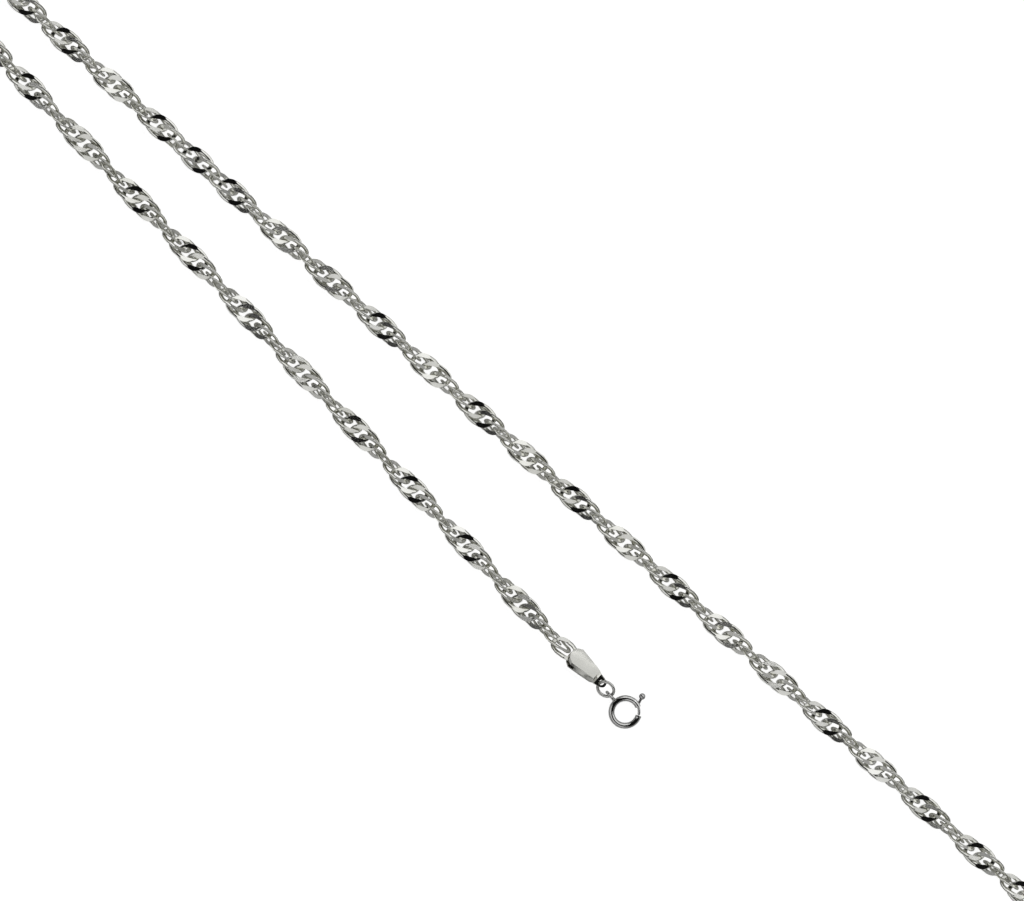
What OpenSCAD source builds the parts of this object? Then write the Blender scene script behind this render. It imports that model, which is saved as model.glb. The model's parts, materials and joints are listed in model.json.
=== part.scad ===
// Twisted chain necklace, lying open on a flat surface, in millimetres.
// One chain of flat oval links, each linked through the next two and turned a little from the
// last, with an end cap at each end. A jump ring joins the near cap to a spring ring clasp, and
// the far cap holds the plain ring that the clasp hooks into. The surface is z = 0.

/* [Chain link] */
// Length of a link, from wire centre to wire centre
link_l = 4.5; // [4.45:0.05:4.6]
// Width of a link, from wire centre to wire centre
link_w = 2.66; // [2.6:0.02:2.7]
// Radius of a link's two round ends, at the wire's centre
link_end_r = 1.05; // [1:0.05:1.15]
// Width of the flattened wire, in the plane of its link
wire_w = 0.46; // [0.4:0.02:0.46]
// Thickness of the flattened wire
wire_t = 0.34; // [0.28:0.02:0.34]

/* [Lie of the chain] */
// Direction in which the short run leaves the clasp's end cap, in degrees from +X
near_heading = 137; // [130:0.5:140]
// Turn to the right as the chain settles from the cap into its run
settle_turn = 3.7; // [0:0.1:5]
// Length over which it settles
settle_l = 6; // [4:1:10]
// Length of the short run after that
short_l = 118.2; // [110:0.1:125]
// Bend to the left along the whole short run, in degrees
short_bow = 0.52; // [0:0.01:1]
// Length of the long run, from the turn to the last full twist before the end
long_l = 202.9; // [190:0.1:215]
// Bend to the left along the whole long run, in degrees
long_bow = 1.22; // [0:0.01:2]
// Length of chain after the long run, up to the last link
tail_l = 8.5; // [5:0.1:20]
// Distance between the two runs at the turn
run_gap = 8.44; // [7:0.01:12]
// How far ahead of the short run's end the long run starts
run_step = 3.51; // [0:0.01:6]
// Angle by which the two runs spread apart from the turn
run_splay = 3.84; // [0:0.01:8]
// Radius of the turn
turn_r = 8.5; // [8.4:0.1:8.6]
// Radius of the two bends that lead into it
bend_r = 10.5; // [10:0.5:12]
// Straight lead from the short run into the turn
lead_in = 2; // [1:0.5:5]
// Straight lead from the turn into the long run
lead_out = 3; // [1:0.5:5]

/* [End cap] */
// Length from the mouth to the middle of the eye
cap_eye_x = 6.5; // [6.2:0.1:7]
// Width across the shoulders
cap_w = 3.5; // [3.3:0.1:3.5]
// Thickness along the ridge, at the shoulders
cap_t = 1.9; // [1.6:0.1:1.9]
// Radius of the eye
cap_eye_r = 0.6; // [0.58:0.01:0.62]
// Metal around the eye
cap_eye_rim = 0.3; // [0.28:0.01:0.32]
// Height of the mouth that takes the last link
mouth_h = 0.74; // [0.7:0.02:0.8]
// Depth of the mouth
mouth_d = 1.85; // [1.8:0.05:2]
// Radius of the crimp that holds the last link in the mouth
crimp_r = 0.35; // [0.3:0.01:0.36]
// Roll of each cap about the chain's axis, left side down as seen from the chain
cap_roll = 37; // [30:1:37]

/* [Rings] */
// Mean radius of the jump ring
jump_r = 1.32; // [1.3:0.01:1.34]
// Mean radius of the plain ring at the far end
far_r = 1.9; // [1.8:0.1:2]
// Radius of both rings' wire
ring_wire_r = 0.22; // [0.18:0.01:0.22]
// Direction from the cap's eye through the jump ring to the clasp's eyelet
jump_heading = -56; // [-58:0.5:-54]
// Roll of the jump ring about that line
jump_roll = 33; // [32:1:34]
// Roll of the far ring about the line out of its cap's eye
far_roll = 28; // [26:1:30]
// Drop of the far ring from its cap's eye to the surface, in degrees
far_drop = 11.8; // [10:0.1:11.8]

/* [Clasp] */
// Direction from the clasp's eyelet to the middle of its ring
clasp_heading = -47.5; // [-55:0.5:-42]
// Mean radius of the spring ring
clasp_r = 2.14; // [2.1:0.01:2.2]
// Outer radius of its tube
tube_r = 0.43; // [0.43:0.01:0.45]
// Radius of the tube's bore
bore_r = 0.32; // [0.32:0.01:0.33]
// Radius of the bolt that slides in the bore
bolt_r = 0.21; // [0.18:0.01:0.21]
// Lower end of the opening in the ring, in degrees from +X
gate_from = -17; // [-20:1:-15]
// Upper end of the opening in the ring
gate_to = 22; // [20:1:25]
// Travel of the bolt when the clasp is opened, in degrees
bolt_travel = 40; // [35:1:42]
// Width of the slot that the lever runs in
slot_w = 0.46; // [0.44:0.02:0.5]
// Radius of the lever's stem
stem_r = 0.13; // [0.1:0.01:0.13]
// Radius of the lever's ball
ball_r = 0.48; // [0.4:0.02:0.5]
// Mean radius of the upright eyelet on the ring
eyelet_r = 0.76; // [0.74:0.01:0.8]
// Radius of the eyelet's wire
eyelet_wire_r = 0.23; // [0.2:0.01:0.24]

/* [Hidden] */
$fn = 48;
silver = [0.82, 0.82, 0.8];
shade_silver = [0.72, 0.73, 0.7];

// Middle of the first link: it puts the middle of the whole necklace at x = y = 0
start_at = [10.25, -31.4];
// Height of the chain's axis: links that stand on edge touch the surface
axis_h = norm([link_w + wire_w, wire_t]) / 2;

function unit(a) = [cos(a), sin(a)];
function arc_l(r, a) = r * a * PI / 180;
function azimuth(v) = atan2(v.y, v.x);
function within_turn(a) = a - 360 * floor((a + 180) / 360);

// The pose [x, y, heading] reached from a pose by a length of chain that turns to the left
function onward(pose, length, turn) =
  abs(turn) < 0.001
    ? [pose.x + length * cos(pose.z), pose.y + length * sin(pose.z), pose.z]
    : let (r = length / (turn * PI / 180))
      [pose.x + r * (sin(pose.z + turn) - sin(pose.z)),
       pose.y - r * (cos(pose.z + turn) - cos(pose.z)),
       pose.z + turn];

// The short run, from the first link to where the turn's lead begins
start_pose = [start_at.x, start_at.y, near_heading];
settled = onward(start_pose, settle_l, -settle_turn);
short_end = onward(settled, short_l, short_bow);
// The long run starts beside that end and comes back
out_heading = short_end.z;
back_heading = out_heading - 180 + run_splay;
long_start = [short_end.x, short_end.y] + run_gap * unit(out_heading - 90)
             + run_step * unit(out_heading);

// The turn is one circle outside the two bends that lead into it
bend_in = [short_end.x, short_end.y] + lead_in * unit(out_heading);
bend_out = long_start - lead_out * unit(back_heading);
centre_in = bend_in + bend_r * unit(out_heading + 90);
centre_out = bend_out + bend_r * unit(back_heading + 90);
half_span = (centre_out - centre_in) / 2;
turn_reach = sqrt(pow(bend_r + turn_r, 2) - half_span * half_span);
turn_centre = centre_in + half_span + turn_reach * unit(azimuth(half_span) + 90);
flare_in = within_turn(azimuth(turn_centre - centre_in) - (out_heading - 90));
flare_out = within_turn((back_heading - 90) - azimuth(turn_centre - centre_out));
turn_sweep = 180 - run_splay + flare_in + flare_out;

// Stretches of the route: length and turn to the left
route = [
  [settle_l, -settle_turn],
  [short_l, short_bow],
  [lead_in, 0],
  [arc_l(bend_r, flare_in), flare_in],
  [arc_l(turn_r, turn_sweep), -turn_sweep],
  [arc_l(bend_r, flare_out), flare_out],
  [lead_out, 0],
  [long_l, long_bow],
  [tail_l, 0],
];

// The pose at a distance along the route
function pose_at(s, row = 0, from = start_pose) =
  row == len(route) - 1 || s <= route[row][0]
    ? onward(from, s, route[row][1] * s / route[row][0])
    : pose_at(s - route[row][0], row + 1, onward(from, route[row][0], route[row][1]));

function sum(v, i = 0) = i < len(v) ? v[i] + sum(v, i + 1) : 0;
function column_sum(table, column) = sum([for (row = table) row[column]]);
route_l = column_sum(route, 0);

// Twist of the chain, stretch by stretch: links, length and half twists
LINKS = 0;
LENGTH = 1;
HALVES = 2;
// At each end the last link lies as its cap does
end_halves = 2 - cap_roll / 180;
near_twist = [
  [12, 21.7, end_halves],
  [7, 12.4, 1],
  [27, 49.2, 4],
  [7, 12.3, 1],
  [13, 24.0, 2],
];
far_twist = [
  [11, 19.9, 2],
  [8, 14.7, 2],
  [17, 30.8, 3],
  [11, 20.4, 2],
  [11, 19.6, 2],
  [11, 20.3, 2],
  [17, 31.4, 3],
  [11, 20.1, 2],
  [6, 11.1, 1],
  [9, 16.2, end_halves],
];
// Round the turn the links lie a little closer, with a fuller twist
turn_pitch = 1.78;
turn_links_a_half = 4.9;
turn_stretch_l = route_l - column_sum(near_twist, LENGTH) - column_sum(far_twist, LENGTH);
turn_links = round(turn_stretch_l / turn_pitch);
turn_halves = round(turn_links / turn_links_a_half);
twist = concat(near_twist, [[turn_links, turn_stretch_l, turn_halves]], far_twist);
last_link = column_sum(twist, LINKS);
// The two chain nodes meet half way round the turn
middle_link = column_sum(near_twist, LINKS) + round(turn_links / 2);

// A link's [distance along the route, roll about it]
function station(k, row = 0, s = 0, roll = cap_roll) =
  let (stretch = twist[row])
  k <= stretch[LINKS]
    ? [s + stretch[LENGTH] * k / stretch[LINKS],
       roll + 180 * stretch[HALVES] * k / stretch[LINKS]]
    : station(k - stretch[LINKS], row + 1, s + stretch[LENGTH], roll + 180 * stretch[HALVES]);

// Oval of a link: two side arcs, and an end arc where they would come to a point
end_x = link_l / 2 - link_end_r;
side_r = (pow(end_x, 2) + pow(link_w / 2, 2) - pow(link_end_r, 2)) / (link_w - 2 * link_end_r);
side_y = side_r - link_w / 2;
side_overlap = 0.1;
side_l = 2 * (end_x + link_end_r * end_x / norm([end_x, side_y]) - side_overlap);

// The cap, from its mouth at x = 0 to its eye: shoulders, roof and side walls
link_to_mouth = 0.85;
shoulder_x = 1.1;
lip_x = 0.35;
lip_y = 1.3;
lip_tip_y = 0.6;
lip_t = 1.66;
side_wall_t = 1.24;
roof_edge_y = 1.4;
roof_edge_t = 1.76;
tab_r = cap_eye_r + cap_eye_rim;
tab_x = cap_eye_x - 0.75;
tab_t = 0.5;
roof_end_x = tab_x - 0.6;
roof_end_t = 0.85 * cap_t;
crimp_x = 0.66;

// Where the eye of each cap is, and the rings that hang from the eyes
near_out = near_heading + 180;
eye_reach = link_to_mouth + cap_eye_x;
near_eye = concat(start_at + eye_reach * unit(near_out), axis_h);
far_pose = pose_at(route_l);
far_eye = concat([far_pose.x, far_pose.y] + eye_reach * unit(far_pose.z), axis_h);
eyelet_out = eyelet_r + eyelet_wire_r;
jump_drop = asin((axis_h - eyelet_out) / (2 * jump_r));
eyelet_at = near_eye + 2 * jump_r * downward(jump_heading, jump_drop);

// The clasp rests on its eyelet and on the far side of its ring
eyelet_x = 3.45;
clasp_tilt = asin((eyelet_out - tube_r) / (eyelet_x + clasp_r));
clasp_at = eyelet_at + eyelet_x * downward(clasp_heading, clasp_tilt);
eyelet_azimuth = clasp_heading + 180;
neck_r = 0.3;

// The bolt, closed: its tip stops just short of the tube, and its tail stays in the bore
bolt_play = 3;
bolt_from = gate_from + bolt_play;
bolt_to = 62;
bore_from = gate_to - bolt_play;
bore_to = bolt_to + bolt_travel + 2 * bolt_play;
stem_azimuth = 27;
slot_to = stem_azimuth + bolt_travel + 14;
ball_azimuth = 43.6;
ball_x = 3.62;

// A unit vector along a heading, dropping by an angle
function downward(heading, drop) = concat(cos(drop) * unit(heading), -sin(drop));

// The oval, wider than the wire's centre line by grow all round
module oval(grow) {
  intersection() {
    translate([0, side_y])
      circle(r = side_r + grow);
    translate([0, -side_y])
      circle(r = side_r + grow);
    square([side_l, 2 * link_w], center = true);
  }
  for (x = [-end_x, end_x])
    translate([x, 0])
      circle(r = link_end_r + grow);
}

// A flat oval link, along X, in the XY plane
module link() {
  linear_extrude(height = wire_t, center = true)
    difference() {
      oval(wire_w / 2);
      oval(-wire_w / 2);
    }
}

// Puts its children on the route, with X along it, rolled about it
module on_route(s, roll) {
  pose = pose_at(s);
  translate([pose.x, pose.y, axis_h])
    rotate([0, 0, pose.z])
      rotate([roll, 0, 0])
        children();
}

module chain_part(first, last) {
  for (k = [first:last]) {
    place = station(k);
    on_route(place[0], place[1])
      link();
  }
}

// A cap's blank: its plan, its side view and its cross-section met in one solid
module cap_blank() {
  blank_l = cap_eye_x + 2 * tab_r;
  intersection() {
    linear_extrude(height = 2 * cap_t, center = true) {
      polygon([
        [0, -lip_tip_y], [lip_x, -lip_y], [shoulder_x, -cap_w / 2], [cap_eye_x, -tab_r],
        [cap_eye_x, tab_r], [shoulder_x, cap_w / 2], [lip_x, lip_y], [0, lip_tip_y],
      ]);
      translate([cap_eye_x, 0])
        circle(r = tab_r);
    }
    rotate([90, 0, 0])
      linear_extrude(height = 2 * cap_w, center = true)
        polygon([
          [0, lip_t / 2], [shoulder_x, cap_t / 2], [roof_end_x, roof_end_t / 2],
          [tab_x, tab_t / 2], [blank_l, tab_t / 2], [blank_l, -tab_t / 2],
          [tab_x, -tab_t / 2], [roof_end_x, -roof_end_t / 2], [shoulder_x, -cap_t / 2],
          [0, -lip_t / 2],
        ]);
    rotate([90, 0, 90])
      linear_extrude(height = blank_l)
        polygon([
          [cap_w / 2, side_wall_t / 2], [roof_edge_y, roof_edge_t / 2], [0, cap_t / 2],
          [-roof_edge_y, roof_edge_t / 2], [-cap_w / 2, side_wall_t / 2],
          [-cap_w / 2, -side_wall_t / 2], [-roof_edge_y, -roof_edge_t / 2], [0, -cap_t / 2],
          [roof_edge_y, -roof_edge_t / 2], [cap_w / 2, -side_wall_t / 2],
        ]);
  }
}

// A cap along X: its mouth takes the last link, which a crimp through it holds
module end_cap() {
  difference() {
    cap_blank();
    translate([-mouth_d, -cap_w, -mouth_h / 2])
      cube([2 * mouth_d, 2 * cap_w, mouth_h]);
    translate([cap_eye_x, 0, -cap_t])
      cylinder(h = 2 * cap_t, r = cap_eye_r);
  }
  translate([crimp_x, 0, -mouth_h / 2])
    cylinder(h = mouth_h, r = crimp_r);
}

// A round ring whose wire passes through a hole, seen along its line out of that hole
module hanging_ring(hole, heading, drop, roll, r) {
  translate(hole + r * downward(heading, drop))
    rotate([0, 0, heading])
      rotate([0, drop, 0])
        rotate([roll, 0, 0])
          rotate_extrude()
            translate([r, 0])
              circle(r = ring_wire_r);
}

// Part of a ring of tube or bolt in the clasp's plane, by azimuth
module round_arc(r, from, to) {
  rotate_extrude(angle = to - from, start = from)
    translate([clasp_r, 0])
      circle(r = r);
}

// Tips the clasp about its own middle, with the eyelet side up
module in_clasp() {
  translate(clasp_at)
    rotate([0, 0, eyelet_azimuth])
      rotate([0, -clasp_tilt, 0])
        rotate([0, 0, -eyelet_azimuth])
          children();
}

module clasp_eyelet() {
  rotate([0, 0, eyelet_azimuth]) {
    translate([eyelet_x, 0, 0])
      rotate([90, 0, 0])
        rotate_extrude()
          translate([eyelet_r, 0])
            circle(r = eyelet_wire_r);
    translate([clasp_r, 0, 0])
      rotate([0, 90, 0])
        cylinder(h = eyelet_x - eyelet_r - clasp_r, r = neck_r);
  }
}

module clasp_ring_form() {
  difference() {
    union() {
      round_arc(tube_r, gate_to, 360 + gate_from);
      clasp_eyelet();
    }
    round_arc(bore_r, bore_from, bore_to);
    rotate_extrude(angle = slot_to - bore_from, start = bore_from)
      translate([clasp_r, -slot_w / 2])
        square([2 * tube_r, slot_w]);
  }
}

module clasp_lever_form() {
  stem_foot = clasp_r * unit(stem_azimuth);
  ball = ball_x * unit(ball_azimuth);
  round_arc(bolt_r, bolt_from, bolt_to);
  translate([stem_foot.x, stem_foot.y, 0])
    rotate([0, 0, azimuth(ball - stem_foot)])
      rotate([0, 90, 0])
        cylinder(h = norm(ball - stem_foot), r = stem_r);
  translate([ball.x, ball.y, 0])
    sphere(r = ball_r);
}

module short_run_chain() {
  color(silver)
    chain_part(0, middle_link);
}

module long_run_chain() {
  color(silver)
    chain_part(middle_link + 1, last_link);
}

module clasp_end_cap() {
  color(shade_silver)
    on_route(0, cap_roll)
      rotate([0, 0, 180])
        translate([link_to_mouth, 0, 0])
          end_cap();
}

module far_end_cap() {
  color(shade_silver)
    on_route(route_l, -cap_roll)
      translate([link_to_mouth, 0, 0])
        end_cap();
}

module jump_ring() {
  color(silver)
    hanging_ring(near_eye, jump_heading, jump_drop, jump_roll, jump_r);
}

module far_ring() {
  color(silver)
    hanging_ring(far_eye, far_pose.z, far_drop, far_roll, far_r);
}

module clasp_ring() {
  color(silver)
    in_clasp()
      clasp_ring_form();
}

module clasp_lever() {
  color(shade_silver)
    in_clasp()
      clasp_lever_form();
}

short_run_chain();
long_run_chain();
clasp_end_cap();
jump_ring();
clasp_ring();
clasp_lever();
far_end_cap();
far_ring();
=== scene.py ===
import json
import math

import bmesh
import bpy
import numpy as np
from mathutils import Matrix, Vector


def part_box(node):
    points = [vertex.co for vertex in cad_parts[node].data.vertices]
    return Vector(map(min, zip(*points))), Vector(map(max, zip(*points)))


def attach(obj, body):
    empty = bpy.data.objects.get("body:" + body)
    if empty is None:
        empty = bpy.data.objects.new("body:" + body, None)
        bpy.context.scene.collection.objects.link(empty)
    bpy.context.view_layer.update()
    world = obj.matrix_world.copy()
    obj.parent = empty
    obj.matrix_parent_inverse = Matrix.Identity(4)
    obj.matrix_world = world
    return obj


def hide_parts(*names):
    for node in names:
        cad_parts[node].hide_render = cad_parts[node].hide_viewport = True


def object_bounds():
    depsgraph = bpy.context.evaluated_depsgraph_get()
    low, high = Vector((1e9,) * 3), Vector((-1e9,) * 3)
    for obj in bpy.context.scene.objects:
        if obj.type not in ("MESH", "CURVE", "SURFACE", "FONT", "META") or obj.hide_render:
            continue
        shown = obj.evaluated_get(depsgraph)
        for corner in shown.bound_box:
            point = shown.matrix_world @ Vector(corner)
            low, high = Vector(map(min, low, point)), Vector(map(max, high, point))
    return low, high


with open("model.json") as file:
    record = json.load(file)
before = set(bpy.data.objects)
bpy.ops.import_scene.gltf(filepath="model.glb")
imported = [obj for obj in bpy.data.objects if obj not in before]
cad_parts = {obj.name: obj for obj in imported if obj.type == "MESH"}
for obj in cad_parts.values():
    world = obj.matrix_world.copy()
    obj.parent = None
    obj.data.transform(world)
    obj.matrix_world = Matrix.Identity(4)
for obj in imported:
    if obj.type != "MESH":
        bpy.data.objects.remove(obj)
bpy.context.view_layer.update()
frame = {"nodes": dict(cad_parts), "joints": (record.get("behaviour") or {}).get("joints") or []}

mm = 0.001
fullTurn = 2 * math.pi
print("frame loaded:", len(frame["nodes"]), "nodes")


# Forms: each one is an array of points and a list of faces

def evenAngles(steps):
    return np.linspace(0, fullTurn, steps, endpoint=False)


def unit(vectors):
    return vectors / np.linalg.norm(vectors, axis=-1, keepdims=True)


# The numbers of the points in each row, with the row's first point again at its end
def rowNumbers(count, across, first=0):
    numbers = first + np.arange(count * across).reshape(count, across)
    return np.column_stack([numbers, numbers[:, 0]])


# Faces between two lines of points, which are given by the points' numbers
def between(first, second):
    return np.column_stack([first[:-1], second[:-1], second[1:], first[1:]]).tolist()


# A skin over rows of points, with the first and last row filled in unless it closes on itself
def lofted(rows, closed=False):
    count, across = rows.shape[:2]
    numbers = rowNumbers(count, across)
    faces = []
    for row in range(count if closed else count - 1):
        faces += between(numbers[row], numbers[(row + 1) % count])
    if not closed:
        faces.append(numbers[0, :-1].tolist())
        faces.append(numbers[-1, -2::-1].tolist())
    return rows.reshape(-1, 3), faces


# A closed section carried along a line: each row of the line has a middle and two directions,
# and its own share of the section's size
def carried(middles, sideways, upward, section, sizes=None, closed=False):
    sizes = np.ones(len(middles)) if sizes is None else np.asarray(sizes)
    rows = (
        middles[:, None, :]
        + sizes[:, None, None] * section[None, :, 0, None] * sideways[:, None, :]
        + sizes[:, None, None] * section[None, :, 1, None] * upward[:, None, :]
    )
    return lofted(rows, closed)


# A round section, with its first angle on the outward side
def roundSection(radius, angles):
    return np.column_stack([np.cos(angles), np.sin(angles)]) * radius


# A line for carried() that lies on a circle in the XY plane
def circleRows(radius, angles):
    outward = np.column_stack([np.cos(angles), np.sin(angles), np.zeros(len(angles))])
    upward = np.tile([0.0, 0.0, 1.0], (len(angles), 1))
    return outward * radius, outward, upward


# A ring of round wire in the XY plane
def loopOfWire(radius, wireRadius, steps, sectionSteps, sizes=None):
    line = circleRows(radius, evenAngles(steps))
    return carried(*line, roundSection(wireRadius, evenAngles(sectionSteps)), sizes, closed=True)


# A turned form along X: its profile is a list of places along the axis and radii
def turned(profile, steps):
    places, radii = np.array(profile, float).T
    middles = np.column_stack([places, np.zeros(len(places)), np.zeros(len(places))])
    sideways = np.tile([0.0, 1.0, 0.0], (len(places), 1))
    upward = np.tile([0.0, 0.0, 1.0], (len(places), 1))
    return carried(middles, sideways, upward, roundSection(1, evenAngles(steps)), radii)


def moved(form, matrix):
    points, faces = form
    turn = np.array(matrix.to_3x3())
    return points @ turn.T + np.array(matrix.translation), faces


def joined(*forms):
    points, faces, count = [], [], 0
    for formPoints, formFaces in forms:
        points.append(formPoints)
        faces += [[count + corner for corner in face] for face in formFaces]
        count += len(formPoints)
    return np.vstack(points), faces


# Objects, and where the CAD solids lie

def newObject(name, data):
    made = bpy.data.objects.new(name, data)
    bpy.context.scene.collection.objects.link(made)
    return made


def formObject(name, form):
    points, faces = form
    mesh = bpy.data.meshes.new(name)
    mesh.from_pydata(points.tolist(), [], faces)
    return newObject(name, mesh)


# A piece of the object, in place of its CAD node, with a crease where faces meet at a larger
# angle than sharpAngle, in degrees
def newPiece(name, form, node, body, material, sharpAngle=35):
    piece = formObject(name, form)
    piece.data.validate()
    piece.data.shade_smooth()
    piece.data.set_sharp_from_angle(angle=math.radians(sharpAngle))
    piece.data.materials.append(material)
    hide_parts(node)
    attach(piece, body)
    return piece


# The separate solids of a CAD node, each as an array of triangle corners
def solidsOf(node):
    weldReach = 0.0005 * mm
    made = bmesh.new()
    made.from_mesh(frame["nodes"][node].data)
    bmesh.ops.remove_doubles(made, verts=made.verts, dist=weldReach)
    bmesh.ops.triangulate(made, faces=made.faces)
    unseen, solids = set(made.faces), []
    for first in made.faces:
        if first not in unseen:
            continue
        unseen.remove(first)
        reached, waiting = [], [first]
        while waiting:
            face = waiting.pop()
            reached.append([corner.co[:] for corner in face.verts])
            for edge in face.edges:
                for other in edge.link_faces:
                    if other in unseen:
                        unseen.remove(other)
                        waiting.append(other)
        solids.append(np.array(reached))
    made.free()
    return solids


# Middle of a solid's skin, and its directions as columns: the longest first, the thinnest last
def layOf(corners):
    area = np.linalg.norm(
        np.cross(corners[:, 1] - corners[:, 0], corners[:, 2] - corners[:, 0]), axis=1
    )
    middle = (corners.mean(axis=1) * area[:, None]).sum(axis=0) / area.sum()
    out = corners - middle
    whole = out.sum(axis=1)
    spread = np.einsum("f,fki,fkj->ij", area, out, out)
    spread += np.einsum("f,fi,fj->ij", area, whole, whole)
    directions = np.linalg.eigh(spread)[1][:, ::-1]
    thin = directions[:, 2] * (1 if directions[2, 2] > 0 else -1)
    long = directions[:, 0]
    return middle, np.column_stack([long, np.cross(thin, long), thin])


def layMatrix(middle, directions):
    matrix = Matrix(directions.tolist()).to_4x4()
    matrix.translation = Vector(middle)
    return matrix


def middleOf(node):
    lowest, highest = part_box(node)
    return (lowest + highest) / 2


# Shader nodes, and the effects that the materials share

def newGroup(name, inputs, outputs):
    group = bpy.data.node_groups.new(name, "ShaderNodeTree")
    for label, value in inputs.items():
        socket = group.interface.new_socket(
            name=label, in_out="INPUT", socket_type="NodeSocketFloat"
        )
        socket.default_value = value
    for label in outputs:
        group.interface.new_socket(
            name=label, in_out="OUTPUT", socket_type="NodeSocketFloat"
        )
    return group, group.nodes.new("NodeGroupInput"), group.nodes.new("NodeGroupOutput")


def newNode(tree, kind, **settings):
    node = tree.nodes.new(kind)
    for key, value in settings.items():
        setattr(node, key, value)
    return node


def join(tree, *pairs):
    for output, socket in pairs:
        tree.links.new(output, socket)


def newMath(tree, operation, first, second=None, clamp=False):
    node = newNode(tree, "ShaderNodeMath", operation=operation, use_clamp=clamp)
    for place, value in enumerate((first, second)):
        if isinstance(value, bpy.types.NodeSocket):
            tree.links.new(value, node.inputs[place])
        elif value is not None:
            node.inputs[place].default_value = value
    return node.outputs[0]


def newNoise(tree, place, scale, detail):
    noise = newNode(tree, "ShaderNodeTexNoise")
    noise.inputs["Detail"].default_value = detail
    join(tree, (place, noise.inputs["Vector"]), (scale, noise.inputs["Scale"]))
    return noise.outputs["Fac"]


polish = {
    "grainDetail": 3,
    "strokes": [(0.5, (1, 16, 5)), (-1.1, (14, 1, 6))],  # turn in radians, stretch along each axis
    "strokeDetail": 2,
    "fineness": 22,  # higher for thinner lines
    "hazeDetail": 4,
    "hazeSize": 14,  # how many times coarser the haze is than the grain
}


# Fine hairlines from polishing in two directions, over a soft grain
def makePolishMarks():
    group, given, result = newGroup(
        "polishMarks", {"Grain": 9000, "Lines": 2600, "Line Depth": 0.5}, ["Height", "Haze"]
    )
    place = newNode(group, "ShaderNodeTexCoord").outputs["Object"]
    height = newNoise(group, place, given.outputs["Grain"], polish["grainDetail"])
    for turn, stretch in polish["strokes"]:
        mapping = newNode(group, "ShaderNodeMapping")
        mapping.inputs["Rotation"].default_value = (turn, turn / 2, turn)
        mapping.inputs["Scale"].default_value = stretch
        join(group, (place, mapping.inputs["Vector"]))
        strokes = newNoise(
            group, mapping.outputs["Vector"], given.outputs["Lines"], polish["strokeDetail"]
        )
        offMiddle = newMath(group, "ABSOLUTE", newMath(group, "SUBTRACT", strokes, 0.5))
        fade = newMath(group, "MULTIPLY", offMiddle, polish["fineness"])
        line = newMath(group, "SUBTRACT", 1, fade, clamp=True)
        cut = newMath(group, "MULTIPLY", line, given.outputs["Line Depth"])
        height = newMath(group, "SUBTRACT", height, cut)
    hazeScale = newMath(group, "DIVIDE", given.outputs["Grain"], polish["hazeSize"])
    haze = newNoise(group, place, hazeScale, polish["hazeDetail"])
    join(group, (height, result.inputs["Height"]), (haze, result.inputs["Haze"]))
    return group


# settings for the tarnish clouds and for the painted shade in the recesses
tarnishAndShade = {
    "cloudDetail": 3,
    "cloudsFrom": 0.4,  # higher for fewer clouds
    "cloudContrast": 3,
    "recessSamples": 6,
}


# Where air has dulled the silver in soft clouds, and painted shade in the recesses: darker as far as
# ambient occlusion finds other surfaces close by
def makeTarnishAndShade():
    group, given, result = newGroup(
        "tarnishAndShade", {"Cloud Scale": 260, "Reach": 0.9 * mm, "Clouds": 0.5}, ["Mask"]
    )
    place = newNode(group, "ShaderNodeTexCoord").outputs["Object"]
    clouds = newNoise(group, place, given.outputs["Cloud Scale"], tarnishAndShade["cloudDetail"])
    above = newMath(group, "SUBTRACT", clouds, tarnishAndShade["cloudsFrom"])
    soft = newMath(group, "MULTIPLY", above, tarnishAndShade["cloudContrast"], clamp=True)
    darkening = newMath(group, "MULTIPLY", soft, given.outputs["Clouds"])
    # painted shade: ambient occlusion darkens the recesses and the gaps between parts
    hidden = newNode(group, "ShaderNodeAmbientOcclusion", samples=tarnishAndShade["recessSamples"])
    recessShade = newMath(group, "SUBTRACT", 1, hidden.outputs["AO"], clamp=True)
    mask = newMath(group, "ADD", darkening, recessShade, clamp=True)
    join(group, (given.outputs["Reach"], hidden.inputs["Distance"]), (mask, result.inputs["Mask"]))
    return group


edgeWearAndGlint = {"flat": 0.52}  # pointiness up to which a surface counts as flat


# Edges that wear keeps bright, with a painted highlight on every sharp edge
def makeEdgeWearAndGlint():
    group, given, result = newGroup("edgeWearAndGlint", {"Sharpness": 12}, ["Edge"])
    shape = newNode(group, "ShaderNodeNewGeometry")
    above = newMath(group, "SUBTRACT", shape.outputs["Pointiness"], edgeWearAndGlint["flat"])
    edge = newMath(group, "MULTIPLY", above, given.outputs["Sharpness"], clamp=True)
    join(group, (edge, result.inputs["Edge"]))
    return group


effects = {
    "polishMarks": makePolishMarks(),
    "tarnishAndShade": makeTarnishAndShade(),
    "edgeWearAndGlint": makeEdgeWearAndGlint(),
}


def placeGroup(tree, name, values):
    node = newNode(tree, "ShaderNodeGroup", node_tree=effects[name])
    for label, value in values.items():
        node.inputs[label].default_value = value
    return node
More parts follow.
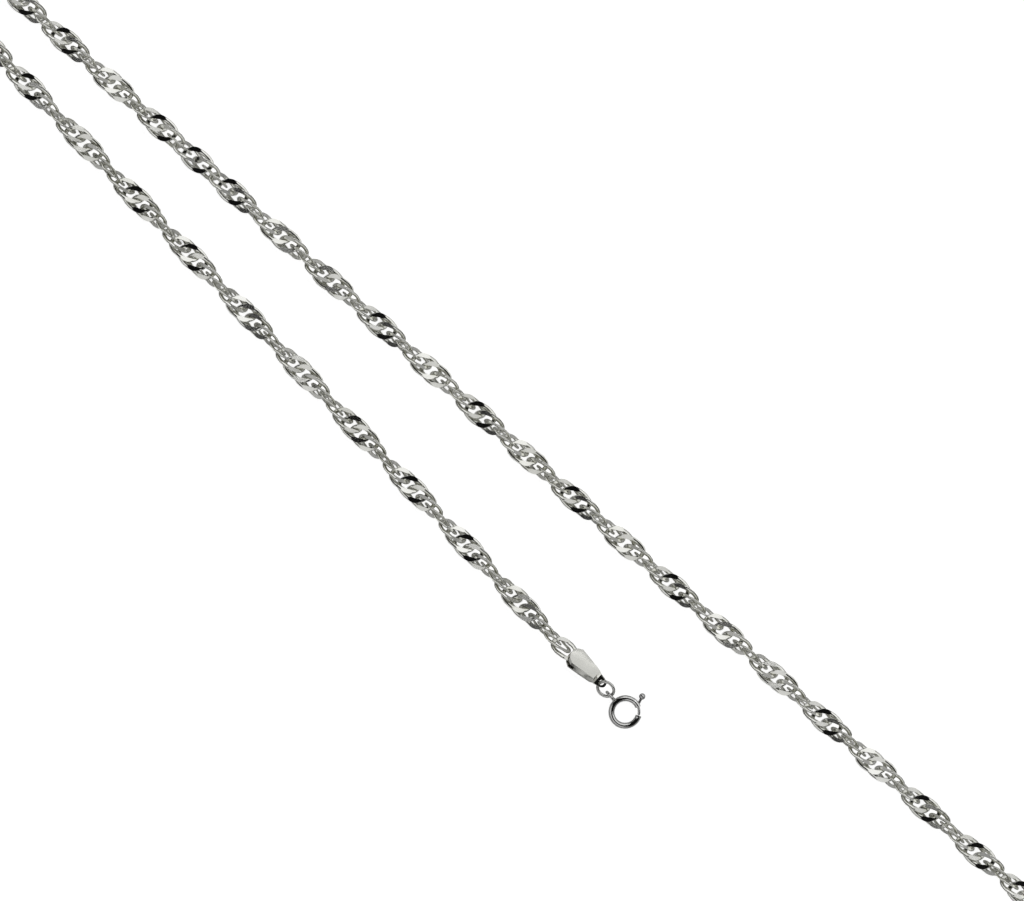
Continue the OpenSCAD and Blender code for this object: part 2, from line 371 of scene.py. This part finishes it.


# Silver with its own polish: edges are brighter, partly from wear and partly as a painted highlight,
# dulled places darker, recesses darker with painted shade, and the haze of the polish makes it
# rougher in places
def makeSilver(name, look):
    material = bpy.data.materials.new(name)
    material.use_nodes = True
    tree = material.node_tree
    shader = tree.nodes["Principled BSDF"]
    shader.inputs["Metallic"].default_value = 1.0
    marks = placeGroup(tree, "polishMarks", look["marks"])
    # painted highlight: sharp edges are brightened, along with the wear
    wornAndGlint = placeGroup(tree, "edgeWearAndGlint", look["edges"])
    # the darkening mask holds the tarnish clouds and the painted shade in the recesses
    darkening = placeGroup(tree, "tarnishAndShade", look["tarnishAndShade"]).outputs["Mask"]
    haze = marks.outputs["Haze"]
    if "toneSpread" in look:  # the darker links are rougher too
        ownTone = newNode(tree, "ShaderNodeAttribute", attribute_name="ownTone")
        share = newMath(tree, "MULTIPLY", ownTone.outputs["Fac"], look["toneSpread"])
        darkening = newMath(tree, "ADD", darkening, share, clamp=True)
        haze = newMath(tree, "ADD", haze, share)

    tone = newNode(tree, "ShaderNodeMix", data_type="RGBA")
    tone.inputs["A"].default_value = (*look["colour"], 1)
    tone.inputs["B"].default_value = (*look["tarnishAndShadeColour"], 1)
    bright = newNode(tree, "ShaderNodeMix", data_type="RGBA")
    bright.inputs["B"].default_value = (*look["edgeColour"], 1)
    rough = newNode(tree, "ShaderNodeMapRange")
    rough.inputs["To Min"].default_value, rough.inputs["To Max"].default_value = look["roughness"]
    bump = newNode(tree, "ShaderNodeBump")
    bump.inputs["Distance"].default_value = look["markDepth"]
    join(
        tree,
        (darkening, tone.inputs["Factor"]),
        (tone.outputs["Result"], bright.inputs["A"]),
        (wornAndGlint.outputs["Edge"], bright.inputs["Factor"]),
        (bright.outputs["Result"], shader.inputs["Base Color"]),
        (haze, rough.inputs["Value"]),
        (rough.outputs["Result"], shader.inputs["Roughness"]),
        (marks.outputs["Height"], bump.inputs["Height"]),
        (bump.outputs["Normal"], shader.inputs["Normal"]),
    )
    return material


print("shared effects made")


# The chain

chain = {
    # node, piece, and the cap that the run starts from
    "runs": [
        ("short_run_chain", "shortRunChain", "clasp_end_cap"),
        ("long_run_chain", "longRunChain", "far_end_cap"),
    ],
    "length": 4.36 * mm,  # a link's centre line from end to end
    "width": 2.53 * mm,
    "endRadius": 1.12 * mm,
    "skew": 0.35,  # the twist pulls the raised corners towards each other
    "wireWidth": 0.68 * mm,
    "wireThickness": 0.40 * mm,
    "cornerAt": 1.35 * mm,  # the twist of a link raises two of its corners, this far along
    "cornerRise": 0.26 * mm,
    "cornerPeak": 3,  # higher for shorter corners
    "cornerLean": 0.7,  # how far the wire leans with the slope of its corners
    "slopeReach": 0.01 * mm,  # how far to each side that slope is measured
    "groundAt": 0.215 * mm,  # the raised corners are ground flat at this height
    "leastFlat": 10,  # degrees of the wire's section that wear takes off everywhere
    "spread": 0.14,  # how much wider a link that lies flat is than one that stands on edge
    "jitter": 1.2,  # degrees that a link may lie off its CAD place, and half that in its plane
    "seed": 7,
    "endSteps": 14,
    "sideSteps": 10,
    "flankSteps": 6,
    "look": {
        "colour": (0.91, 0.91, 0.87),
        # the dark colour of the tarnish and of the painted shade in the recesses
        "tarnishAndShadeColour": (0.60, 0.60, 0.53),
        # the colour of worn edges and of the painted highlight on sharp edges
        "edgeColour": (0.95, 0.95, 0.92),
        "roughness": (0.05, 0.16),
        "toneSpread": 0.35,  # how far the darkest link goes towards the colour of the tarnish and the painted shade
        "markDepth": 0.0012 * mm,
        "marks": {"Grain": 9000, "Lines": 2400, "Line Depth": 0.5},
        "tarnishAndShade": {"Cloud Scale": 150, "Reach": 0.8 * mm, "Clouds": 0.35},
        "edges": {"Sharpness": 5},
    },
}


# Centre line of a link: an end arc, a side arc and their opposites
def ovalLine():
    endRadius, halfWidth = chain["endRadius"], chain["width"] / 2
    endX = chain["length"] / 2 - endRadius
    sideRadius = (endX**2 + halfWidth**2 - endRadius**2) / (2 * halfWidth - 2 * endRadius)
    sideY = sideRadius - halfWidth
    meet = math.atan2(sideY, endX)
    arcs = [
        ((endX, 0), endRadius, -meet, meet, chain["endSteps"]),
        ((0, -sideY), sideRadius, meet, math.pi - meet, chain["sideSteps"]),
        ((-endX, 0), endRadius, math.pi - meet, math.pi + meet, chain["endSteps"]),
        ((0, sideY), sideRadius, math.pi + meet, fullTurn - meet, chain["sideSteps"]),
    ]
    places, outward = [], []
    for (x, y), radius, start, stop, steps in arcs:
        for angle in np.linspace(start, stop, steps, endpoint=False):
            way = (math.cos(angle), math.sin(angle), 0.0)
            places.append((x + radius * way[0], y + radius * way[1], 0.0))
            outward.append(way)
    places, outward = np.array(places), np.array(outward)
    places[:, 0] += chain["skew"] * places[:, 1]
    outward[:, 1] -= chain["skew"] * outward[:, 0]
    return places, unit(outward)


# Two corners of a twisted link stand up and the other two hang down
def cornerHeight(places):
    along = places[:, 0] / chain["cornerAt"]
    across = places[:, 1] / (chain["width"] / 2)
    peak = (np.abs(along) * np.exp((1 - along**2) / 2)) ** chain["cornerPeak"]
    return -chain["cornerRise"] * np.sign(along) * peak * across


# Rows of points round the wire of one twisted link, whose raised corners are ground flat
def linkRows():
    places, outward = ovalLine()
    heights = cornerHeight(places)
    aside = chain["slopeReach"] * outward
    rise = cornerHeight(places + aside) - cornerHeight(places - aside)
    leans = np.arctan(chain["cornerLean"] * (rise / (2 * chain["slopeReach"])))
    halfWidth, halfThick = chain["wireWidth"] / 2, chain["wireThickness"] / 2
    most = math.sin(math.radians(90 - chain["leastFlat"]))
    rows = []
    for place, way, height, lean in zip(places, outward, heights, leans):
        across = halfWidth * math.sin(lean), halfThick * math.cos(lean)
        reach, start = math.hypot(*across), math.atan2(*across)
        above = math.asin(min(most, (chain["groundAt"] - height) / reach))
        below = math.asin(min(most, (chain["groundAt"] + height) / reach))
        outerFlank = np.linspace(-below, above, chain["flankSteps"] + 1)
        innerFlank = np.linspace(math.pi - above, math.pi + below, chain["flankSteps"] + 1)
        angles = np.concatenate([outerFlank, innerFlank]) - start
        wide, high = halfWidth * np.cos(angles), halfThick * np.sin(angles)
        out = wide * math.cos(lean) - high * math.sin(lean)
        up = wide * math.sin(lean) + high * math.cos(lean) + height
        rows.append(place + out[:, None] * way + up[:, None] * np.array([0, 0, 1.0]))
    return np.array(rows)


# A normal for each corner of each of the link's faces: its flanks are smooth and its flats flat
def linkNormals(rows):
    alongWire = np.roll(rows, -1, axis=0) - np.roll(rows, 1, axis=0)
    aroundWire = np.roll(rows, -1, axis=1) - np.roll(rows, 1, axis=1)
    last = rows.shape[1] - 1
    half = rows.shape[1] // 2
    for edge, inner in ((0, 1), (half - 1, half - 2), (half, half + 1), (last, last - 1)):
        aroundWire[:, edge] = (rows[:, inner] - rows[:, edge]) * (inner - edge)
    smooth = unit(np.cross(alongWire, aroundWire))
    nextRow = np.roll(smooth, -1, axis=0)
    normals = np.stack(
        [smooth, nextRow, np.roll(nextRow, -1, axis=1), np.roll(smooth, -1, axis=1)], axis=2
    )
    for edge, other in ((half - 1, half), (last, 0)):
        along = alongWire[:, edge] + alongWire[:, other]
        flat = unit(np.cross(along, rows[:, other] - rows[:, edge]))
        nextFlat = np.roll(flat, -1, axis=0)
        normals[:, edge] = np.stack([flat, nextFlat, nextFlat, flat], axis=1)
    return normals.reshape(-1, 3)


# Links in their order along the run, from the one that is nearest to a point
def inOrder(places, start):
    left, here, order = list(range(len(places))), np.array(start), []
    while left:
        nearest = min(left, key=lambda which: np.linalg.norm(places[which][0] - here))
        left.remove(nearest)
        order.append(nearest)
        here = places[nearest][0]
    return [places[which] for which in order]


# Each link stands where its CAD solid is, a little off in its lean and with a tone of its own
def chainRun(node, name, start, material, chance):
    rows = linkRows()
    linkPoints, linkFaces = lofted(rows, closed=True)
    cornerNormals = linkNormals(rows)
    links = inOrder([layOf(solid) for solid in solidsOf(node)], start)
    points, faces, normals, tones = [], [], [], []
    for count, (middle, directions) in enumerate(links):
        lean = math.radians(chain["jitter"]) * chance.uniform(-1, 1, 3)
        turn = directions @ np.array(
            Matrix.Rotation(lean[0], 3, "X") @ Matrix.Rotation(lean[1], 3, "Y")
            @ Matrix.Rotation(lean[2] / 2, 3, "Z")
        )
        stretch = np.array([1, 1 + chain["spread"] * directions[2, 2] ** 2, 1])
        points.append((linkPoints * stretch) @ turn.T + middle)
        normals.append(unit(cornerNormals / stretch) @ turn.T)
        faces += (np.array(linkFaces) + count * len(linkPoints)).tolist()
        tones += [chance.uniform(0, 1)] * len(linkPoints)
    form = np.vstack(points), faces
    piece = newPiece(
        name, form, node, "necklace", material, sharpAngle=180
    )
    piece.data.attributes.new("ownTone", "FLOAT", "POINT").data.foreach_set("value", tones)
    piece.data.normals_split_custom_set(np.vstack(normals).tolist())
    print(name + ":", len(links), "links")


chainSilver = makeSilver("chainSilver", chain["look"])
chance = np.random.default_rng(chain["seed"])
for node, name, firstCap in chain["runs"]:
    chainRun(node, name, middleOf(firstCap), chainSilver, chance)


# The two rings of wire

rings = {
    # node: the ring's radius in the middle of its wire, and its piece
    "sizes": {"jump_ring": (1.32 * mm, "jumpRing"), "far_ring": (1.9 * mm, "farRing")},
    "wireRadius": 0.24 * mm,
    "steps": 120,
    "sectionSteps": 20,
    "seamReach": 0.07,  # radians either side of the soldered joint
    "seamRise": 0.05,  # share of the wire's size
    "look": {
        "colour": (0.76, 0.76, 0.74),
        # the dark colour of the tarnish and of the painted shade in the recesses
        "tarnishAndShadeColour": (0.46, 0.46, 0.44),
        # the colour of worn edges and of the painted highlight on sharp edges
        "edgeColour": (0.95, 0.95, 0.94),
        "roughness": (0.06, 0.20),
        "markDepth": 0.0012 * mm,
        "marks": {"Grain": 8000, "Lines": 3200, "Line Depth": 0.4},
        "tarnishAndShade": {"Cloud Scale": 500, "Reach": 0.6 * mm, "Clouds": 0.3},
        "edges": {"Sharpness": 4},
    },
}


def wireRing(node, material):
    radius, name = rings["sizes"][node]
    angles = evenAngles(rings["steps"])
    fromSeam = np.minimum(angles, fullTurn - angles) / rings["seamReach"]
    sizes = 1 + rings["seamRise"] * np.exp(-(fromSeam**2))
    form = loopOfWire(radius, rings["wireRadius"], rings["steps"], rings["sectionSteps"], sizes)
    lay = layMatrix(*layOf(solidsOf(node)[0]))
    newPiece(name, moved(form, lay), node, "necklace", material)


ringSilver = makeSilver("ringSilver", rings["look"])
for node in rings["sizes"]:
    wireRing(node, ringSilver)
print("rings made")


# The clasp

clasp = {
    "radius": 2.14 * mm,
    "tubeRadius": 0.46 * mm,
    "boreRadius": 0.32 * mm,
    "gateFrom": -17,  # degrees round the ring, from its own X
    "gateTo": 22,
    "boreTo": 108,
    "slotTo": 81,
    "slotWidth": 0.46 * mm,
    "socketRadius": 0.27 * mm,
    "socketDepth": 5,  # degrees
    "collarRise": 0.05,  # share of the tube's radius
    "collarReach": 0.05,  # radians
    "collarAt": 1.4,  # that many reaches from the tube's end
    "tubeSteps": 150,
    "wallColumns": 24,  # faces round the tube's wall, and across its slot
    "slotColumns": 8,
    "eyeletAt": 3.45 * mm,
    "eyeletRadius": 0.76 * mm,
    "eyeletWire": 0.23 * mm,
    "eyeletSteps": 72,
    "eyeletSectionSteps": 20,
    "neckFoot": 0.25 * mm,  # outward from the middle of the tube
    # from the neck's foot to its top inside the eyelet's wire, in mm: height and radius
    "neck": [
        (0, 0.02), (0, 0.345), (0.0875, 0.294), (0.1925, 0.264), (0.2975, 0.276), (0.35, 0.3),
        (0.45, 0.24), (0.49, 0.02),
    ],
    "neckSteps": 28,
    "look": {
        "colour": (0.70, 0.70, 0.69),
        # the dark colour of the tarnish and of the painted shade in the recesses
        "tarnishAndShadeColour": (0.42, 0.42, 0.40),
        # the colour of worn edges and of the painted highlight on sharp edges
        "edgeColour": (0.96, 0.96, 0.95),
        "roughness": (0.04, 0.14),
        "markDepth": 0.001 * mm,
        "marks": {"Grain": 7000, "Lines": 2600, "Line Depth": 0.5},
        "tarnishAndShade": {"Cloud Scale": 420, "Reach": 0.6 * mm, "Clouds": 0.25},
        "edges": {"Sharpness": 5},
    },
}

# The clasp's own frame has its middle on the lever's axis and leans as that axis does
hinge = frame["joints"][0]
hingeAxis = Vector(hinge["axis"]).normalized()
eyeletTurn = math.atan2(-hingeAxis.y, -hingeAxis.x)
inClasp = (
    Matrix.Translation(Vector(hinge["pos_m"]))
    @ Matrix.Rotation(eyeletTurn, 4, "Z")
    @ Matrix.Rotation(-math.acos(hingeAxis.z), 4, "Y")
    @ Matrix.Rotation(-eyeletTurn, 4, "Z")
)


# Angles round the tube's section: first those of its wall, from one edge of the slot to the
# other, and then those between the edges
def tubeAngles(radius):
    edge = math.asin(clasp["slotWidth"] / 2 / radius)
    wall = np.linspace(edge, fullTurn - edge, clasp["wallColumns"] + 1)
    return np.concatenate([wall, np.linspace(-edge, edge, clasp["slotColumns"] + 1)[1:-1]])


# The tube, bored from the gate, with a slot on its outer side for the lever
def slottedTube():
    start, stop = math.radians(clasp["gateTo"]), math.radians(360 + clasp["gateFrom"])
    slotEnd, boreEnd = math.radians(clasp["slotTo"]), math.radians(clasp["boreTo"])
    turns = np.linspace(start, stop, clasp["tubeSteps"])
    slotRow, boreRow = [int(np.abs(turns - end).argmin()) for end in (slotEnd, boreEnd)]
    turns[[slotRow, boreRow]] = slotEnd, boreEnd  # rows fall exactly on the ends of slot and bore

    def collar(fromEnd):  # share of the collar's rise at a place
        return np.exp(-((fromEnd / clasp["collarReach"] - clasp["collarAt"]) ** 2))

    def skin(radius, angles, places, sizes=None):
        return carried(*circleRows(clasp["radius"], places), roundSection(radius, angles), sizes)[0]

    sizes = 1 + clasp["collarRise"] * (collar(turns - start) + collar(stop - turns))
    outerAngles, innerAngles = tubeAngles(clasp["tubeRadius"]), tubeAngles(clasp["boreRadius"])
    socketTurns = stop - np.radians([0, clasp["socketDepth"]])
    outer = skin(clasp["tubeRadius"], outerAngles, turns, sizes)
    inner = skin(clasp["boreRadius"], innerAngles, turns[: boreRow + 1])
    socket = skin(clasp["socketRadius"], outerAngles, socketTurns)

    wall, across = clasp["wallColumns"], len(outerAngles)
    outerRows = rowNumbers(len(turns), across)
    innerRows = rowNumbers(boreRow + 1, across, len(outer))
    rim, bottom = rowNumbers(2, across, len(outer) + len(inner))
    faces = []
    for row in range(len(turns) - 1):
        columns = slice(wall + 1) if row < slotRow else slice(None)
        faces += between(outerRows[row, columns], outerRows[row + 1, columns])
        if row < boreRow:
            faces += between(innerRows[row + 1, columns], innerRows[row, columns])
    slot = slice(slotRow + 1)
    faces += between(outerRows[slot, 0], innerRows[slot, 0])  # the slot's long sides
    faces += between(innerRows[slot, wall], outerRows[slot, wall])
    faces += between(outerRows[slotRow, wall:], innerRows[slotRow, wall:])  # the slot's end
    faces += between(innerRows[0, : wall + 1], outerRows[0, : wall + 1])  # the tube's open end
    faces.append(innerRows[boreRow, :-1].tolist())  # the bore's end
    # the tube's closed end, with a shallow socket for the bolt's tip
    faces += between(outerRows[-1], rim) + between(rim, bottom)
    faces.append(bottom[-2::-1].tolist())
    return np.vstack([outer, inner, socket]), faces


# The eyelet stands on the ring, with a soldered neck under it
def claspEyelet():
    ring = loopOfWire(
        clasp["eyeletRadius"], clasp["eyeletWire"], clasp["eyeletSteps"], clasp["eyeletSectionSteps"]
    )
    standing = Matrix.Translation((clasp["eyeletAt"], 0, 0)) @ Matrix.Rotation(math.pi / 2, 4, "X")
    foot = clasp["radius"] + clasp["neckFoot"]
    profile = [(foot + height * mm, radius * mm) for height, radius in clasp["neck"]]
    eyelet = joined(moved(ring, standing), turned(profile, clasp["neckSteps"]))
    return moved(eyelet, Matrix.Rotation(eyeletTurn, 4, "Z"))


claspSilver = makeSilver("claspSilver", clasp["look"])
claspForm = moved(joined(slottedTube(), claspEyelet()), inClasp)
newPiece("claspRing", claspForm, "clasp_ring", "necklace", claspSilver)
print("clasp ring made")


# The clasp's lever: the bolt in the tube, its stem and its thumb knob

lever = {
    "boltRadius": 0.21 * mm,
    "boltFrom": -14,  # degrees round the ring, as for the clasp
    "boltTo": 62,
    "boltTip": 5,  # degrees over which the bolt's ends are rounded off
    "boltSteps": 50,
    "tipSteps": 8,
    "sectionSteps": 24,
    "stemRadius": 0.2 * mm,
    "stemAt": 27,
    # out from the middle of the bolt: place, and share of the stem's radius
    "stem": [(0, 0.05), (0.02 * mm, 1.25), (0.25 * mm, 1)],
    "stemTo": 1.02,  # where the stem ends, in radii of the knob from its middle
    "knobAt": (3.54 * mm, 42.4),  # from the ring's middle, and degrees round it
    "knobRadius": 0.5 * mm,
    "knobOpen": (0.32, 0.03),  # radians left out of its profile at the stem and at its top
    "knobSteps": 22,
    "turnedSteps": 32,
    "look": {
        "colour": (0.66, 0.66, 0.66),
        # the dark colour of the tarnish and of the painted shade in the recesses
        "tarnishAndShadeColour": (0.36, 0.36, 0.35),
        # the colour of worn edges and of the painted highlight on sharp edges
        "edgeColour": (0.80, 0.80, 0.80),
        "roughness": (0.14, 0.30),
        "markDepth": 0.0018 * mm,
        "marks": {"Grain": 11000, "Lines": 3600, "Line Depth": 0.5},
        "tarnishAndShade": {"Cloud Scale": 700, "Reach": 0.5 * mm, "Clouds": 0.4},
        "edges": {"Sharpness": 4},
    },
}


def boltForm():
    start, stop, tip = lever["boltFrom"], lever["boltTo"], lever["boltTip"]
    rounding = np.linspace(0, math.pi / 2, lever["tipSteps"] + 1)[1:]
    along, sizes = tip * (1 - np.cos(rounding)), np.sin(rounding)
    straight = np.linspace(start + tip, stop - tip, lever["boltSteps"])[1:-1]
    turns = np.concatenate([start + along, straight, stop - along[::-1]])
    allSizes = np.concatenate([sizes, np.ones(len(straight)), sizes[::-1]])
    section = roundSection(lever["boltRadius"], evenAngles(lever["sectionSteps"]))
    return carried(*circleRows(clasp["radius"], np.radians(turns)), section, allSizes)


def onCircle(radius, degrees):
    return Vector((math.cos(math.radians(degrees)), math.sin(math.radians(degrees)), 0)) * radius


def stemAndKnob():
    foot = onCircle(clasp["radius"], lever["stemAt"])
    knob = onCircle(*lever["knobAt"])
    reach = (knob - foot).length
    stem, ball = lever["stemRadius"], lever["knobRadius"]
    profile = [(place, share * stem) for place, share in lever["stem"]]
    profile.append((reach - lever["stemTo"] * ball, stem))
    atStem, atTop = lever["knobOpen"]
    for angle in np.linspace(math.pi - atStem, atTop, lever["knobSteps"]):
        profile.append((reach + ball * math.cos(angle), ball * math.sin(angle)))
    along = (knob - foot).to_track_quat("X", "Z").to_matrix().to_4x4()
    along.translation = foot
    return moved(turned(profile, lever["turnedSteps"]), along)


leverSilver = makeSilver("leverSilver", lever["look"])
leverForm = moved(joined(boltForm(), stemAndKnob()), inClasp)
newPiece("claspLever", leverForm, "clasp_lever", "lever", leverSilver)
print("clasp lever made")


# The two end caps

cap = {
    "names": {"clasp_end_cap": "claspEndCap", "far_end_cap": "farEndCap"},
    # from the mouth to the tip: place, half width, half thickness and the roof's half width,
    # all in mm, and the turn in degrees
    "shape": [
        (0, 0.70, 0.75, 0.45, 0), (0.35, 1.44, 0.81, 1.16, 0), (1.1, 1.95, 0.90, 1.62, 0),
        (3.0, 1.62, 0.87, 1.35, 0), (5.15, 1.13, 0.80, 0.99, 0), (5.7, 0.98, 0.34, 0.90, 33),
        (6.5, 0.84, 0.29, 0.78, 37), (6.95, 0.68, 0.28, 0.63, 37), (7.25, 0.45, 0.27, 0.41, 37),
        (7.38, 0.20, 0.24, 0.17, 37),
    ],
    "roofEdge": 0.87 / 0.95,  # height of the roof's edges over that of its middle
    "mouthHeight": 0.74 * mm,
    "mouthDepth": 1.85 * mm,
    "eyeAt": 6.58 * mm,
    "eyeRadius": 0.4 * mm,
    "eyeTurn": 37,
    "eyeSteps": 40,
    "cutReach": 3 * mm,  # how far the mouth and the eye are cut to each side
    "crimpAt": 0.66 * mm,
    "crimpRadius": 0.35 * mm,
    "crimpSink": 0.02 * mm,  # how far the crimp reaches into the sheet at each end
    "crimpFlare": (0.8, 1.12),  # where the flare starts, and its size
    "crimpSteps": 24,
    "edge": 0.03 * mm,  # how far the folded sheet's edges are rounded
    "edgeSegments": 3,
    "edgeAngle": 24,  # degrees from which a fold is an edge
    "widest": 0.9,  # share of the greatest width that still counts as the widest part
    "look": {
        "colour": (0.88, 0.88, 0.83),
        # the dark colour of the tarnish and of the painted shade in the recesses
        "tarnishAndShadeColour": (0.58, 0.58, 0.51),
        # the colour of worn edges and of the painted highlight on sharp edges
        "edgeColour": (0.95, 0.95, 0.92),
        "roughness": (0.08, 0.18),
        "markDepth": 0.0005 * mm,
        "marks": {"Grain": 3600, "Lines": 1500, "Line Depth": 0.6},
        "tarnishAndShade": {"Cloud Scale": 360, "Reach": 0.8 * mm, "Clouds": 0.3},
        "edges": {"Sharpness": 6},
    },
}


def capBlank():
    rows = []
    for place, width, thick, edge, turn in cap["shape"]:
        roof = thick * cap["roofEdge"]
        section = [
            (width, 0), (edge, roof), (0, thick), (-edge, roof),
            (-width, 0), (-edge, -roof), (0, -thick), (edge, -roof),
        ]
        lean = math.cos(math.radians(turn)), math.sin(math.radians(turn))
        section = [(y * lean[0] - z * lean[1], y * lean[1] + z * lean[0]) for y, z in section]
        rows.append([(place * mm, y * mm, z * mm) for y, z in section])
    return lofted(np.array(rows))


def mouthCutter():
    high, deep, wide = cap["mouthHeight"] / 2, cap["mouthDepth"], cap["cutReach"]
    rows = [
        [(x, -wide, -high), (x, wide, -high), (x, wide, high), (x, -wide, high)]
        for x in (-deep, deep)
    ]
    return lofted(np.array(rows))


def eyeCutter():
    upright = (
        Matrix.Translation((cap["eyeAt"], 0, 0))
        @ Matrix.Rotation(math.radians(cap["eyeTurn"]), 4, "X")
        @ Matrix.Rotation(-math.pi / 2, 4, "Y")
    )
    profile = [(end, cap["eyeRadius"]) for end in (-cap["cutReach"], cap["cutReach"])]
    return moved(turned(profile, cap["eyeSteps"]), upright)


# The blank with its mouth and eye cut out
def foldedSheet():
    blank = formObject("blank", capBlank())
    cutters = [formObject("mouth", mouthCutter()), formObject("eye", eyeCutter())]
    for cutter in cutters:
        made = bmesh.new()
        made.from_mesh(cutter.data)
        bmesh.ops.recalc_face_normals(made, faces=made.faces)
        made.to_mesh(cutter.data)
        made.free()
        cut = blank.modifiers.new(cutter.name, "BOOLEAN")
        cut.object, cut.operation, cut.solver = cutter, "DIFFERENCE", "EXACT"
    bpy.context.view_layer.update()
    shape = blank.evaluated_get(bpy.context.evaluated_depsgraph_get()).to_mesh()
    points = np.array([corner.co[:] for corner in shape.vertices])
    faces = [list(face.vertices) for face in shape.polygons]
    for spare in (blank, *cutters):
        bpy.data.objects.remove(spare)
    return points, faces


# The post across the mouth, which holds the last link
def crimpForm():
    high, radius = cap["mouthHeight"] / 2 + cap["crimpSink"], cap["crimpRadius"]
    straight, flare = cap["crimpFlare"]
    profile = [
        (-high, radius * flare), (-high * straight, radius),
        (high * straight, radius), (high, radius * flare),
    ]
    upright = Matrix.Translation((cap["crimpAt"], 0, 0)) @ Matrix.Rotation(-math.pi / 2, 4, "Y")
    return moved(turned(profile, cap["crimpSteps"]), upright)


# A cap lies as its CAD solid does, with its tip away from the chain
def endCap(node, form, material):
    solid = solidsOf(node)[0]
    middle, directions = layOf(solid)
    fromMiddle = np.vstack(solid) - middle
    along, across = fromMiddle @ directions[:, 0], np.abs(fromMiddle @ directions[:, 1])
    wide = across > cap["widest"] * across.max()
    if along[wide].mean() > 0:  # the widest part is near the mouth
        directions = directions * np.array([-1, -1, 1])
        along = -along
    matrix = layMatrix(middle, directions) @ Matrix.Translation((along.min(), 0, 0))
    piece = newPiece(
        cap["names"][node], moved(form, matrix), node, "necklace", material,
        sharpAngle=cap["edgeAngle"],
    )
    softEdges = piece.modifiers.new("softEdges", "BEVEL")
    softEdges.width = cap["edge"]
    softEdges.segments = cap["edgeSegments"]
    softEdges.use_clamp_overlap = False
    softEdges.limit_method = "ANGLE"
    softEdges.angle_limit = math.radians(cap["edgeAngle"])
    softEdges.harden_normals = True


capSilver = makeSilver("capSilver", cap["look"])
capForm = joined(foldedSheet(), crimpForm())
for node in cap["names"]:
    endCap(node, capForm, capSilver)
print("end caps made")


# Floor, light and camera

studio = {
    "floorHalf": 6,  # metres
    "floorColour": (0.85, 0.85, 0.85),
    "floorRoughness": 0.9,
    "floorGlow": 0.8,  # for the camera alone, as an overexposed sheet of paper looks
    "alongChain": -46,  # degrees: the soft lights lie along the chain, one or two on each side
    # side, lean from overhead in degrees, width in metres, power in watts
    "lights": [(-1, 40, 0.75, 3.6), (1, 41, 0.75, 5.0), (1, 68, 0.3, 1.3)],
    "lightFar": 1.1,
    "lightLength": 2.2,
    # brightness of the room by the height of the direction's tip: 0 is level, 1 is overhead
    "room": [
        (0.0, 0.09), (0.05, 0.12), (0.1, 0.48), (0.23, 0.48), (0.33, 0.02), (0.87, 0.015),
        (0.955, 0.005), (1.0, 0.003),
    ],
}


def makeFloor():
    half, low = studio["floorHalf"], min(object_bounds()[0].z, 0)
    corners = [(-half, -half, low), (half, -half, low), (half, half, low), (-half, half, low)]
    floor = formObject("floor", (np.array(corners), [[0, 1, 2, 3]]))
    paper = bpy.data.materials.new("whitePaper")
    paper.use_nodes = True
    shader = paper.node_tree.nodes["Principled BSDF"]
    shader.inputs["Base Color"].default_value = (*studio["floorColour"], 1)
    shader.inputs["Roughness"].default_value = studio["floorRoughness"]
    shader.inputs["Emission Color"].default_value = (1, 1, 1, 1)
    ray = newNode(paper.node_tree, "ShaderNodeLightPath")
    glow = newMath(paper.node_tree, "MULTIPLY", ray.outputs["Is Camera Ray"], studio["floorGlow"])
    join(paper.node_tree, (glow, shader.inputs["Emission Strength"]))
    floor.data.materials.append(paper)


def makeLights():
    across = math.radians(studio["alongChain"]) + math.pi / 2
    for side, lean, width, power in studio["lights"]:
        out = studio["lightFar"] * math.sin(math.radians(lean)) * side
        up = studio["lightFar"] * math.cos(math.radians(lean))
        light = bpy.data.lights.new("softLight", "AREA")
        light.shape = "RECTANGLE"
        light.size, light.size_y = studio["lightLength"], width
        light.energy = power
        lamp = newObject("softLight", light)
        lamp.location = Vector((out * math.cos(across), out * math.sin(across), up))
        lamp.rotation_euler = (-lamp.location).to_track_quat("-Z", "Y").to_euler()
        lamp.visible_camera = False


# The room: pale low down, and dark overhead, where the camera is
def makeRoom():
    room = bpy.data.worlds.new("room")
    bpy.context.scene.world = room
    room.use_nodes = True
    tree = room.node_tree
    place = newNode(tree, "ShaderNodeTexCoord")
    parts = newNode(tree, "ShaderNodeSeparateXYZ")
    ramp = newNode(tree, "ShaderNodeValToRGB")
    steps = ramp.color_ramp.elements
    for count, (height, level) in enumerate(studio["room"]):
        step = steps[count] if count < 2 else steps.new(height)  # a new ramp has two steps
        step.position = height
        step.color = (level, level, level, 1)
    join(
        tree,
        (place.outputs["Generated"], parts.inputs["Vector"]),
        (parts.outputs["Z"], ramp.inputs["Fac"]),
        (ramp.outputs["Color"], tree.nodes["Background"].inputs["Color"]),
    )


camera = {
    "lens": 100,
    "seen": 157.54 * mm,  # width of the picture at the chain
    "over": (1.92 * mm, -0.77 * mm, 1.57 * mm),
    "clip": 100,  # it sees from so many times nearer to so many times farther than the chain
}


def makeCamera():
    data = bpy.data.cameras.new("camera")
    data.lens = camera["lens"]
    away = camera["seen"] * data.lens / data.sensor_width
    data.clip_start, data.clip_end = away / camera["clip"], away * camera["clip"]
    view = newObject("camera", data)
    view.location = Vector(camera["over"]) + Vector((0, 0, away))
    bpy.context.scene.camera = view


bpy.context.view_layer.update()
makeFloor()
makeLights()
makeRoom()
makeCamera()
bpy.context.scene.view_settings.view_transform = "Standard"
print("floor, lights and camera placed")

bpy.context.view_layer.update()
